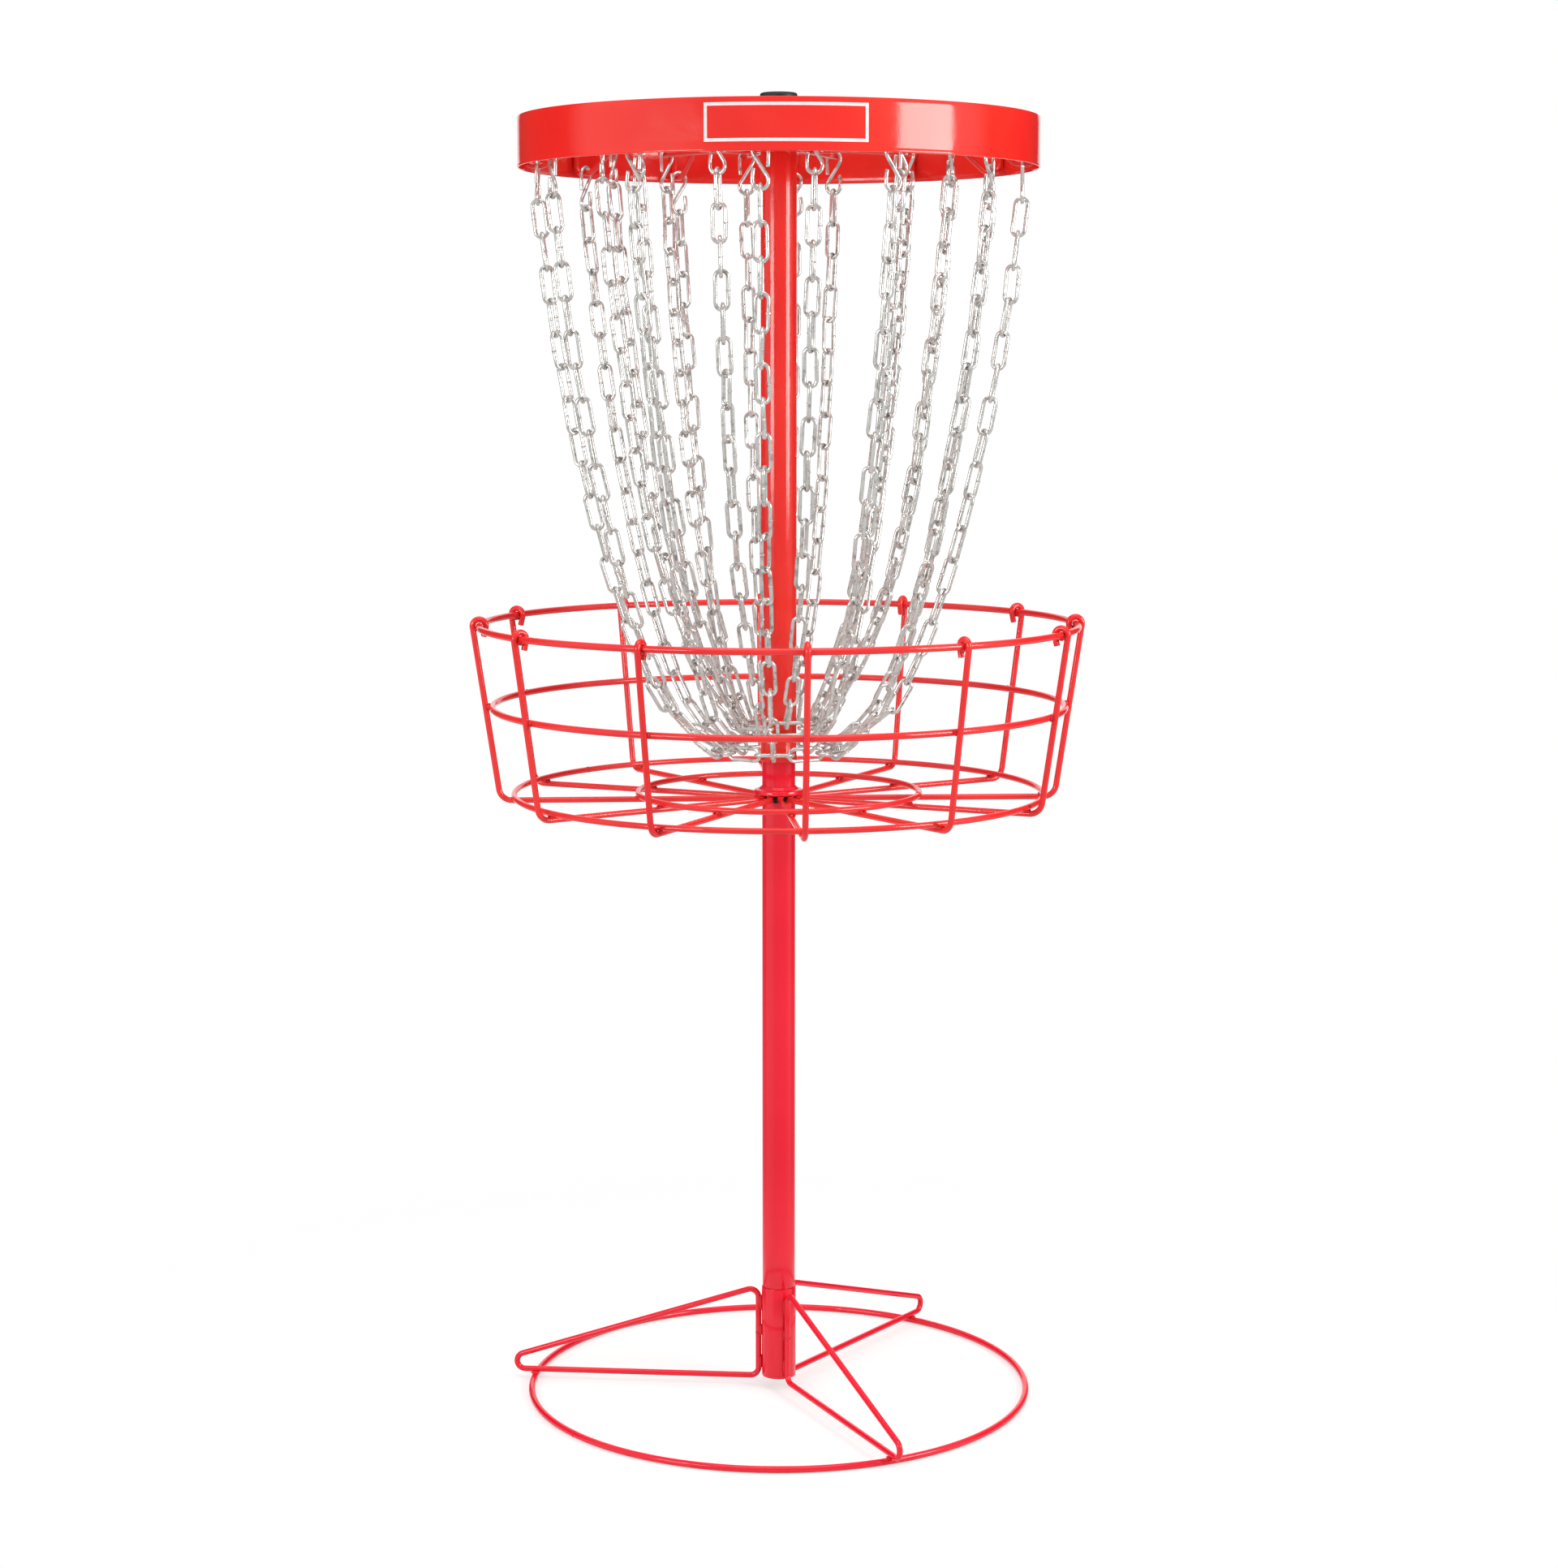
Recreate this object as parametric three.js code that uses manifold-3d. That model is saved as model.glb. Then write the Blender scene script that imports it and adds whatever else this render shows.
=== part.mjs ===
// Disc golf basket: a free-standing steel target on a wire-fin base. Millimetres, +Z up, origin on the ground under
// the pole. An azimuth is measured from -Y (the front) towards +X.
import * as THREE from "three";
import { mergeVertices } from "three/addons/utils/BufferGeometryUtils.js";
import Module from "manifold-3d";

const wasm = await Module();
wasm.setup();

// ---------------------------------------------------------------- driving dimensions (mm, degrees)
const GAP = 0.3; // clearance between touching pieces

const BASE_RING_R = 271.3; // centre line of the ground ring
const BASE_WIRE = 7.0;
const FIN_WIRE = 6.4;
const FIN_AZ = { left: -95, front: 25, rear: 145 };
const FIN_LEG_R = 22.3; // vertical leg beside the base tube
const FIN_TOP_Z = 109;
const FIN_TIP_R = 291.5;
const FIN_TIP_RISE = 9.0; // radius of the rounded tip

const BASE_TUBE = { od: 37.2, id: 32.6, z0: 12.3, z1: 113.3 };
const SPIGOT = { od: 32.0, id: 28.6, z0: 45, z1: 190 };
const LOWER_POLE = { od: 35.6, id: 32.6, z1: 790 };
const UPPER_POLE = { od: 38.1, id: 36.2, z0: 694.2, z1: 1384 };
const UPPER_POLE_LIP = 1.0; // rolled lip at the lower mouth
const CAP_TOP_Z = 1396;

const RIB_WIRE = 6.4;
const RIB_AZ = [5, 35, 65.5, 92.5, 122.8, 153.2, 184, 214.3, 245.8, 273.5, 305, 335]; // set by hand, so not quite even
const RIM_AZ0 = 5;
const RIB_FLOOR_Z = 653.7;
const RIB_BEND_R = 14;
const RIB_TAIL = 10; // straight end of the hook, inside the rim
const RIB_CURL = 22; // degrees the hook turns on past the half circle
const RIM_RING = { r: 318, wire: 7.2, z: 840.5 };
const MID_RING = { wire: 7.0, z: 754.5 };
const FLOOR_WIRE = 6.4;
const FLOOR_OUTER_R = 283;
const FLOOR_INNER_R = 150.6;
const HUB = { id: 36.2, r: 27.5, z0: 657.3, edge: 662.2, z1: 666.9 }; // washer with a welded cone on top
const SPOKE_START_R = 18.5;

const BAND = { r: 272.3, t: 1.6, hem: 0.9, hemH: 4.0, z0: 1317.5, z1: 1368.8 };
const ARM_WIRE = 6.4;
const ARM_COUNT = 12;
const OUTER_AZ0 = -4;
const INNER_AZ0 = 11;
const OUTER_ARM_Z = 1356; // flat run of the long arms
const OUTER_HANG = { r: 254, z: 1322.5 }; // lowest point of a long arm, where the hook sits
const INNER_HANG = { r: 186, z: 1342.0 };
const TIE_RING_R = 150;
const INNER_TIE_RING_R = 100;
const SUPPORT_HUB = { id: 38.7, od: 46, z0: 1334, z1: 1366, flangeR: 31, flangeZ: 1361 };

const HOOK_WIRE = 4.0;
const HOOK_HALF = 7.8; // half the width of the S-hook, wire centre to wire centre
const HOOK_DROP = 45.8; // wire centre at the top to wire centre at the bottom
const CHAIN_D = 7.5; // plain bar that stands in for the links
// chain centre lines, from just under the hook to the closed loop: [radius, height]
const OUTER_CHAIN = [
  [253, 1287], [240, 1172], [223.5, 1077], [203, 983], [178.5, 889], [147, 801], [115, 744],
];
const INNER_CHAIN = [
  [186, 1307], [177, 1205], [164.5, 1108], [149, 1000], [128, 905], [103, 832], [76, 778],
];
const OUTER_LOOP = { r: 67.6, z: 708 };
const INNER_LOOP = { r: 45.7, z: 733 };
const LOOP_GAP = 1.5; // clearance at the loop, where each chain is open

// ---------------------------------------------------------------- materials
const RED = new THREE.MeshStandardMaterial({ color: 0xe8352f, roughness: 0.32, metalness: 0.1 });
const ZINC = new THREE.MeshStandardMaterial({ color: 0xc9c8c3, roughness: 0.28, metalness: 0.95 });
const BLACK = new THREE.MeshStandardMaterial({ color: 0x17171a, roughness: 0.5, metalness: 0.0 });
const STEEL = new THREE.MeshStandardMaterial({ color: 0x9a9c9e, roughness: 0.4, metalness: 0.9 });

// ---------------------------------------------------------------- geometry helpers
const rad = (deg) => (deg * Math.PI) / 180;

// A point given by azimuth, radius and height, moved sideways by u along the tangent.
function at(az, r, z, u = 0) {
  const s = Math.sin(rad(az)), c = Math.cos(rad(az));
  return new THREE.Vector3(r * s + u * c, -r * c + u * s, z);
}

// A bent wire: the curve passes through its own corners, so each corner gets exactly one section.
class WirePath extends THREE.Curve {
  constructor(points) {
    super();
    this.points = points;
  }
  getPoint(t, target = new THREE.Vector3()) {
    const last = this.points.length - 1;
    const x = Math.min(Math.max(t, 0), 1) * last;
    const i = Math.min(Math.floor(x + 1e-9), last - 1);
    return target.copy(this.points[i]).lerp(this.points[i + 1], x - i);
  }
  getPointAt(u, target) {
    return this.getPoint(u, target);
  }
  getTangent(t, target = new THREE.Vector3()) {
    const last = this.points.length - 1;
    const i = Math.round(t * last);
    const p = this.points;
    target.set(0, 0, 0);
    if (i > 0) target.add(p[i].clone().sub(p[i - 1]).normalize());
    if (i < last) target.add(p[i + 1].clone().sub(p[i]).normalize());
    return target.normalize();
  }
  getTangentAt(u, target) {
    return this.getTangent(u, target);
  }
}

function section(diameter, sides, turn = 0) {
  const pts = [];
  for (let i = 0; i < sides; i++) {
    const a = turn + (i * 2 * Math.PI) / sides;
    pts.push(new THREE.Vector2((diameter / 2) * Math.cos(a), (diameter / 2) * Math.sin(a)));
  }
  return new THREE.Shape(pts);
}

function wire(points, diameter, sides = 6) {
  return new THREE.ExtrudeGeometry(section(diameter, sides), {
    steps: points.length - 1,
    curveSegments: 1,
    bevelEnabled: false,
    extrudePath: new WirePath(points),
  });
}

// Turned shape about Z from a closed profile of [radius, height]; one of its edges stands at the given azimuth.
function turned(profile, segments, az = 0) {
  const pts = profile.map(([r, z]) => new THREE.Vector2(r, z));
  let area = 0;
  for (let i = 0; i < pts.length; i++) {
    const a = pts[i], b = pts[(i + 1) % pts.length];
    area += a.x * b.y - b.x * a.y;
  }
  if (area < 0) pts.reverse();
  pts.push(pts[0].clone());
  return new THREE.LatheGeometry(pts, segments).rotateX(Math.PI / 2).rotateZ(rad(az));
}

function ring(r, z, diameter, sides, segments, az = 0) {
  const k = 1 / Math.cos(Math.PI / sides); // the wire has its true height, with a flat face above and below
  const turn = sides % 4 === 0 ? Math.PI / sides : 0;
  const profile = [];
  for (let i = 0; i < sides; i++) {
    const a = turn + (i * 2 * Math.PI) / sides;
    profile.push([r + (diameter / 2) * Math.cos(a), z + ((k * diameter) / 2) * Math.sin(a)]);
  }
  return turned(profile, segments, az);
}

function tube(od, id, z0, z1, segments = 24) {
  return turned([[id / 2, z0], [od / 2, z0], [od / 2, z1], [id / 2, z1]], segments);
}

// Joins closed geometries into one solid.
function joined(geometries) {
  let sum = null;
  for (const g of geometries) {
    const bare = g.index ? g.toNonIndexed() : g.clone();
    bare.deleteAttribute("normal");
    bare.deleteAttribute("uv");
    const m = mergeVertices(bare, 1e-4);
    const solid = new wasm.Manifold(
      new wasm.Mesh({
        numProp: 3,
        vertProperties: m.attributes.position.array,
        triVerts: new Uint32Array(m.index.array),
      }),
    );
    sum = sum ? sum.add(solid) : solid;
  }
  const out = sum.getMesh();
  return new THREE.BufferGeometry()
    .setAttribute("position", new THREE.BufferAttribute(out.vertProperties, 3))
    .setIndex(new THREE.BufferAttribute(out.triVerts, 1));
}

// Points on an arc in the plane of radius and height.
function arc(az, rc, zc, radius, from, to, steps, u = 0) {
  const pts = [];
  for (let i = 0; i <= steps; i++) {
    const a = rad(from + ((to - from) * i) / steps);
    pts.push(at(az, rc + radius * Math.cos(a), zc + radius * Math.sin(a), u));
  }
  return pts;
}

const model = new THREE.Group();
function add(name, geometry, material, parent = model) {
  const mesh = new THREE.Mesh(geometry, material);
  mesh.name = name;
  parent.add(mesh);
  return mesh;
}

// ---------------------------------------------------------------- base
const base = new THREE.Group();
model.add(base);
add("base_ring", ring(BASE_RING_R, BASE_WIRE / 2, BASE_WIRE, 6, 48), RED, base);

// Each fin is one wire bent into a closed triangle, its two ends butted in the leg beside the base tube.
const finBottomZ = BASE_WIRE + FIN_WIRE / 2 + GAP;
function finPoints(az) {
  const legMid = (FIN_TOP_Z + finBottomZ) / 2;
  const tipZ = finBottomZ + FIN_TIP_RISE;
  const slope = Math.atan2(FIN_TOP_Z - (tipZ + FIN_TIP_RISE), FIN_TIP_R - FIN_LEG_R);
  const sd = THREE.MathUtils.radToDeg(slope);
  const b = 9; // bend radius of the two inner corners
  return [
    at(az, FIN_LEG_R, legMid + GAP / 2),
    at(az, FIN_LEG_R, FIN_TOP_Z - b),
    at(az, FIN_LEG_R + b * 0.24, FIN_TOP_Z - b * 0.36),
    at(az, FIN_LEG_R + b * 0.75, FIN_TOP_Z - b * 0.12),
    at(az, FIN_LEG_R + b * 1.35, FIN_TOP_Z - b * 0.4),
    ...arc(az, FIN_TIP_R - FIN_TIP_RISE, tipZ, FIN_TIP_RISE, 90 - sd, -90, 4),
    at(az, FIN_LEG_R + b, finBottomZ),
    at(az, FIN_LEG_R + b * 0.29, finBottomZ + b * 0.29),
    at(az, FIN_LEG_R, finBottomZ + b),
    at(az, FIN_LEG_R, legMid - GAP / 2),
  ];
}
for (const [side, az] of Object.entries(FIN_AZ)) {
  add("base_fin_" + side, wire(finPoints(az), FIN_WIRE, 6), RED, base);
}
add("base_tube", tube(BASE_TUBE.od, BASE_TUBE.id, BASE_TUBE.z0, BASE_TUBE.z1), RED, base);
add("base_spigot", tube(SPIGOT.od, SPIGOT.id, SPIGOT.z0, SPIGOT.z1, 20), STEEL, base);
add("lower_pole", tube(LOWER_POLE.od, LOWER_POLE.id, BASE_TUBE.z1 + GAP, LOWER_POLE.z1), RED, base);

// ---------------------------------------------------------------- basket
const basket = new THREE.Group();
model.add(basket);
add(
  "basket_hub",
  turned(
    [
      [HUB.id / 2, HUB.z0], [HUB.r, HUB.z0], [HUB.r, HUB.edge], [HUB.id / 2 + 2.2, HUB.z1], [HUB.id / 2, HUB.z1],
    ],
    24,
  ),
  RED,
  basket,
);

// Rib: spoke under the floor rings, bend, flared wall outside the rings, hook curled over the rim.
const hookR = (RIM_RING.wire + RIB_WIRE) / 2 + GAP;
const hookCorner = hookR / Math.cos(rad(22.5));
const wallFoot = [FLOOR_OUTER_R + 14.5, RIB_FLOOR_Z]; // where the wall line meets the spoke line
const toRim = [RIM_RING.r - wallFoot[0], RIM_RING.z - wallFoot[1]];
const wallLength = Math.hypot(...toRim);
// direction of the wall so that it touches the hook's circle on its outer side
const wallAngle = Math.atan2(toRim[1], toRim[0]) - Math.asin(hookR / wallLength);
const wallDir = [Math.cos(wallAngle), Math.sin(wallAngle)];
const wallDeg = THREE.MathUtils.radToDeg(wallAngle);
function ribPoints(az) {
  const t = RIB_BEND_R * Math.tan(wallAngle / 2); // distance from the corner to the bend's ends
  const bendFrom = [wallFoot[0] - t, RIB_FLOOR_Z];
  const pts = [at(az, SPOKE_START_R, RIB_FLOOR_Z)];
  pts.push(...arc(az, bendFrom[0], bendFrom[1] + RIB_BEND_R, RIB_BEND_R, -90, -90 + wallDeg, 3));
  pts.push(...arc(az, RIM_RING.r, RIM_RING.z, hookCorner, wallDeg - 90, wallDeg + 90 + RIB_CURL, 5));
  const w = ((wallDeg + 90 + RIB_CURL) * Math.PI) / 180;
  pts.push(at(
    az,
    RIM_RING.r + hookR * Math.cos(w) - Math.sin(w) * RIB_TAIL,
    RIM_RING.z + hookR * Math.sin(w) + Math.cos(w) * RIB_TAIL,
  ));
  return pts;
}
RIB_AZ.forEach((az, i) => {
  add("basket_rib_" + String(i + 1).padStart(2, "0"), wire(ribPoints(az), RIB_WIRE, 6), RED, basket);
});
const midWallR = wallFoot[0] + ((MID_RING.z - RIB_FLOOR_Z) * wallDir[0]) / wallDir[1];
const midR = midWallR - ((RIB_WIRE + MID_RING.wire) / 2 + GAP + 0.2) / wallDir[1];
const floorZ = RIB_FLOOR_Z + (RIB_WIRE + FLOOR_WIRE) / 2 + GAP;
add("basket_rim_ring", ring(RIM_RING.r, RIM_RING.z, RIM_RING.wire, 6, 48, RIM_AZ0), RED, basket);
add("basket_mid_ring", ring(midR, MID_RING.z, MID_RING.wire, 6, 36, RIM_AZ0), RED, basket);
add("basket_floor_outer_ring", ring(FLOOR_OUTER_R, floorZ, FLOOR_WIRE, 6, 36, RIM_AZ0), RED, basket);
add("basket_floor_inner_ring", ring(FLOOR_INNER_R, floorZ, FLOOR_WIRE, 6, 24, RIM_AZ0), RED, basket);

// ---------------------------------------------------------------- head: upper pole, cap, chain support
const head = new THREE.Group();
model.add(head);
add(
  "upper_pole",
  turned(
    [
      [UPPER_POLE.id / 2, UPPER_POLE.z0], [UPPER_POLE.od / 2 + UPPER_POLE_LIP, UPPER_POLE.z0],
      [UPPER_POLE.od / 2 + UPPER_POLE_LIP, UPPER_POLE.z0 + 4], [UPPER_POLE.od / 2, UPPER_POLE.z0 + 7],
      [UPPER_POLE.od / 2, UPPER_POLE.z1], [UPPER_POLE.id / 2, UPPER_POLE.z1],
    ],
    24,
  ),
  RED,
  head,
);
// The stop inside the upper pole rests on the top of the lower pole and carries the head.
add("pole_stop", tube(UPPER_POLE.id - 2 * GAP, 12, LOWER_POLE.z1 + GAP, LOWER_POLE.z1 + 12, 20), STEEL, head);
add(
  "pole_cap",
  turned(
    [
      [0, CAP_TOP_Z - 26], [14.5, CAP_TOP_Z - 26], [14.5, CAP_TOP_Z - 30], [UPPER_POLE.id / 2 - GAP, CAP_TOP_Z - 30],
      [UPPER_POLE.id / 2 - GAP, UPPER_POLE.z1 + GAP], [UPPER_POLE.od / 2 + 0.6, UPPER_POLE.z1 + GAP],
      [UPPER_POLE.od / 2 + 0.6, CAP_TOP_Z - 5.5], [UPPER_POLE.od / 2 - 1.8, CAP_TOP_Z - 2],
      [UPPER_POLE.od / 2 - 6, CAP_TOP_Z - 0.5], [0, CAP_TOP_Z],
    ],
    24,
  ),
  BLACK,
  head,
);
add(
  "support_hub",
  turned(
    [
      [SUPPORT_HUB.id / 2, SUPPORT_HUB.z0], [SUPPORT_HUB.od / 2, SUPPORT_HUB.z0],
      [SUPPORT_HUB.od / 2, SUPPORT_HUB.flangeZ], [SUPPORT_HUB.flangeR, SUPPORT_HUB.flangeZ],
      [SUPPORT_HUB.flangeR, SUPPORT_HUB.z1 - 1.2], [SUPPORT_HUB.flangeR - 1.2, SUPPORT_HUB.z1],
      [SUPPORT_HUB.id / 2, SUPPORT_HUB.z1],
    ],
    24,
  ),
  RED,
  head,
);

// Long arms run flat, slope down to the hanging point and turn up the inside of the band.
const armUpR = BAND.r - BAND.t - ARM_WIRE / 2 - 2 * GAP;
function longArm(az) {
  return wire(
    [
      at(az, SUPPORT_HUB.od / 2 + GAP, OUTER_ARM_Z),
      at(az, 204, OUTER_ARM_Z),
      at(az, OUTER_HANG.r - 7, OUTER_HANG.z),
      at(az, OUTER_HANG.r + 7, OUTER_HANG.z),
      at(az, armUpR, OUTER_HANG.z + 6),
      at(az, armUpR, BAND.z1 - 8),
    ],
    ARM_WIRE,
    6,
  );
}
// Short arms carry the inner circle of hooks and end in a turned-up tip.
function shortArm(az) {
  return wire(
    [
      at(az, SUPPORT_HUB.od / 2 + GAP, INNER_HANG.z),
      at(az, INNER_HANG.r + 7, INNER_HANG.z),
      at(az, INNER_HANG.r + 10.5, INNER_HANG.z + 3.5),
      at(az, INNER_HANG.r + 10.5, INNER_HANG.z + 11),
    ],
    ARM_WIRE,
    6,
  );
}
const armAz = (az0, i) => az0 + (360 / ARM_COUNT) * i;
const indices = Array.from({ length: ARM_COUNT }, (_, i) => i);
add(
  "support_outer_frame",
  joined([ring(TIE_RING_R, OUTER_ARM_Z, ARM_WIRE - 0.8, 6, 24, OUTER_AZ0), ...indices.map((i) => longArm(armAz(OUTER_AZ0, i)))]),
  RED,
  head,
);
add(
  "support_inner_frame",
  joined([
    ring(INNER_TIE_RING_R, INNER_HANG.z, ARM_WIRE - 0.8, 6, 24, INNER_AZ0),
    ...indices.map((i) => shortArm(armAz(INNER_AZ0, i))),
  ]),
  RED,
  head,
);
add(
  "chain_support_band",
  turned(
    [
      [BAND.r - BAND.t, BAND.z0], [BAND.r + BAND.hem, BAND.z0], [BAND.r + BAND.hem, BAND.z0 + BAND.hemH],
      [BAND.r, BAND.z0 + BAND.hemH + 1.2], [BAND.r, BAND.z1], [BAND.r - BAND.t, BAND.z1],
    ],
    48,
    OUTER_AZ0,
  ),
  RED,
  head,
);
add("outer_chain_loop", ring(OUTER_LOOP.r, OUTER_LOOP.z, CHAIN_D, 6, 24, OUTER_AZ0), ZINC, head);
add("inner_chain_loop", ring(INNER_LOOP.r, INNER_LOOP.z, CHAIN_D, 6, 24, INNER_AZ0), ZINC, head);

// ---------------------------------------------------------------- chains: S-hook and chain, one solid each
function hookPoints(az, r, armZ) {
  const top = armZ + (ARM_WIRE + HOOK_WIRE) / 2 + GAP;
  const zt = top - HOOK_HALF, zb = top - HOOK_DROP + HOOK_HALF;
  const p = (u, z) => at(az, r, z, -u); // free end on the right seen from outside
  const pts = [p(-HOOK_HALF, zt - 17)];
  for (let i = 0; i <= 4; i++) {
    const a = rad(180 - 45 * i);
    pts.push(p(HOOK_HALF * Math.cos(a), zt + HOOK_HALF * Math.sin(a)));
  }
  for (let i = 0; i <= 2; i++) {
    const a = rad(180 + 90 * i);
    pts.push(p(HOOK_HALF * Math.cos(a), zb + HOOK_HALF * Math.sin(a)));
  }
  pts.push(p(HOOK_HALF, zb + 11));
  return pts;
}
function chain(az, hang, line, loop) {
  // the lower end stops just short of the closed loop, facing it
  const [r, z] = line[line.length - 1];
  const d = Math.hypot(r - loop.r, z - loop.z);
  const k = (CHAIN_D / 2 + LOOP_GAP) / d;
  const points = [...line, [loop.r + (r - loop.r) * k, loop.z + (z - loop.z) * k]];
  return joined([
    wire(hookPoints(az, hang.r, hang.z), HOOK_WIRE, 5),
    wire(points.map(([r, z]) => at(az, r, z)), CHAIN_D, 5),
  ]);
}
for (const i of indices) {
  const n = String(i + 1).padStart(2, "0");
  add("chain_outer_" + n, chain(armAz(OUTER_AZ0, i), OUTER_HANG, OUTER_CHAIN, OUTER_LOOP), ZINC, head);
}
for (const i of indices) {
  const n = String(i + 1).padStart(2, "0");
  add("chain_inner_" + n, chain(armAz(INNER_AZ0, i), INNER_HANG, INNER_CHAIN, INNER_LOOP), ZINC, head);
}

export default model;
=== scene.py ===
"""Disc golf basket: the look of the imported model, with a studio floor, soft lights and a camera. Metres, +Z up.
An azimuth is measured from -Y (the front) towards +X, in degrees."""
import math

import bpy
import numpy as np
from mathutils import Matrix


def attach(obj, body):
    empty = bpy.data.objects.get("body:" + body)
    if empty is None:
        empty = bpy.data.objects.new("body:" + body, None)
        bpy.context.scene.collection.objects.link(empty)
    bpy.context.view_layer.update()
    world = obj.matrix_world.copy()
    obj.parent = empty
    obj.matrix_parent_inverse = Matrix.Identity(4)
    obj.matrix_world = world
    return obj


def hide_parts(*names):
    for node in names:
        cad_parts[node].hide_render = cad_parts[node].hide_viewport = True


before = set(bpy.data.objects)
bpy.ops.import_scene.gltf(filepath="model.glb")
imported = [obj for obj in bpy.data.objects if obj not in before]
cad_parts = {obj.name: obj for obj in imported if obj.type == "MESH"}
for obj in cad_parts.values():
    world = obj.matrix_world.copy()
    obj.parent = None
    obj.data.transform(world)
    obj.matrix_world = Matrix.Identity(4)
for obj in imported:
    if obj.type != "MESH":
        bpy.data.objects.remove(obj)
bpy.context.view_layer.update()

MM = 0.001
RNG = np.random.default_rng(7)

# ---------------------------------------------------------------- dimensions (mm)
BASE_RING_R, BASE_WIRE, FIN_WIRE = 271.3, 7.0, 6.4
FIN_AZ = {"left": -95.0, "front": 25.0, "rear": 145.0}
FIN_LEG_R, FIN_TOP_Z, FIN_TIP_R, FIN_TIP_RISE = 22.3, 109.0, 291.5, 9.0
RIB_WIRE, RIB_FLOOR_Z, RIB_BEND_R, RIB_TAIL, RIB_CURL = 6.4, 653.7, 14.0, 10.0, 22.0
RIB_AZ = [5, 35, 65.5, 92.5, 122.8, 153.2, 184, 214.3, 245.8, 273.5, 305, 335]
RIM_R, RIM_WIRE, RIM_Z = 318.0, 7.2, 840.5
MID_WIRE, MID_Z = 7.0, 754.5
FLOOR_WIRE, FLOOR_OUTER_R, FLOOR_INNER_R = 6.4, 283.0, 150.6
BAND_R, BAND_T, BAND_HEM, BAND_Z0, BAND_Z1 = 272.3, 1.6, 0.9, 1317.5, 1368.8
ARM_WIRE, OUTER_AZ0, INNER_AZ0, OUTER_ARM_Z = 6.4, -4.0, 11.0, 1356.0
OUTER_HANG, INNER_HANG = (254.0, 1322.5), (186.0, 1342.0)
TIE_RING_R, INNER_TIE_RING_R = 150.0, 100.0
OUTER_LOOP, INNER_LOOP = (67.6, 708.0), (45.7, 733.0)
HOOK_WIRE, HOOK_HALF, HOOK_DROP = 4.0, 7.8, 45.8
LINK_WIRE, LINK_LEN, LINK_WIDTH = 4.0, 43.0, 17.0
GAP = 0.3
OUTER_CHAIN = [(253, 1287), (240, 1172), (223.5, 1077), (203, 983), (178.5, 889), (147, 801), (115, 744)]
INNER_CHAIN = [(186, 1307), (177, 1205), (164.5, 1108), (149, 1000), (128, 905), (103, 832), (76, 778)]


# ---------------------------------------------------------------- points and paths
def at(az, r, z, u=0.0):
    a = math.radians(az)
    s, c = math.sin(a), math.cos(a)
    return np.array([r * s + u * c, -r * c + u * s, z], float)


def unit(v):
    return v / np.linalg.norm(v)


def rounded(points, radii, step_deg=9.0):
    """A polyline with its inner corners rounded to the given radii."""
    pts = [np.asarray(p, float) for p in points]
    out = [pts[0]]
    for i in range(1, len(pts) - 1):
        a, b, c = pts[i - 1], pts[i], pts[i + 1]
        r = radii[i - 1]
        d0, d1 = unit(a - b), unit(c - b)
        turn = math.pi - math.acos(float(np.clip(d0 @ d1, -1, 1)))
        if r <= 0 or turn < 0.02:
            out.append(b)
            continue
        t = min(r * math.tan(turn / 2), 0.48 * np.linalg.norm(a - b), 0.48 * np.linalg.norm(c - b))
        rr = t / math.tan(turn / 2)
        centre = b + unit(d0 + d1) * math.hypot(rr, t)
        p0, p1 = b + d0 * t, b + d1 * t
        n = max(2, int(math.degrees(turn) / step_deg) + 1)
        e0 = unit(p0 - centre)
        e1 = p1 - centre
        e1 = unit(e1 - (e1 @ e0) * e0)
        for k in range(n + 1):
            w = turn * k / n
            out.append(centre + rr * (math.cos(w) * e0 + math.sin(w) * e1))
    out.append(pts[-1])
    return out


def resampled(points, longest):
    """Adds points so that no span is longer than that."""
    out = [points[0]]
    for a, b in zip(points[:-1], points[1:]):
        n = max(1, int(math.ceil(np.linalg.norm(b - a) / longest)))
        for k in range(1, n + 1):
            out.append(a + (b - a) * k / n)
    return out


def spline(points, n=24):
    """A smooth curve through the points."""
    p = [2 * points[0] - points[1]] + list(points) + [2 * points[-1] - points[-2]]
    out = []
    for i in range(1, len(p) - 2):
        for k in range(n):
            t = k / n
            a, b, c, d = p[i - 1], p[i], p[i + 1], p[i + 2]
            out.append(
                0.5 * (2 * b + (c - a) * t + (2 * a - 5 * b + 4 * c - d) * t * t + (3 * b - a - 3 * c + d) * t**3)
            )
    out.append(p[-2])
    return np.array(out)


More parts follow.
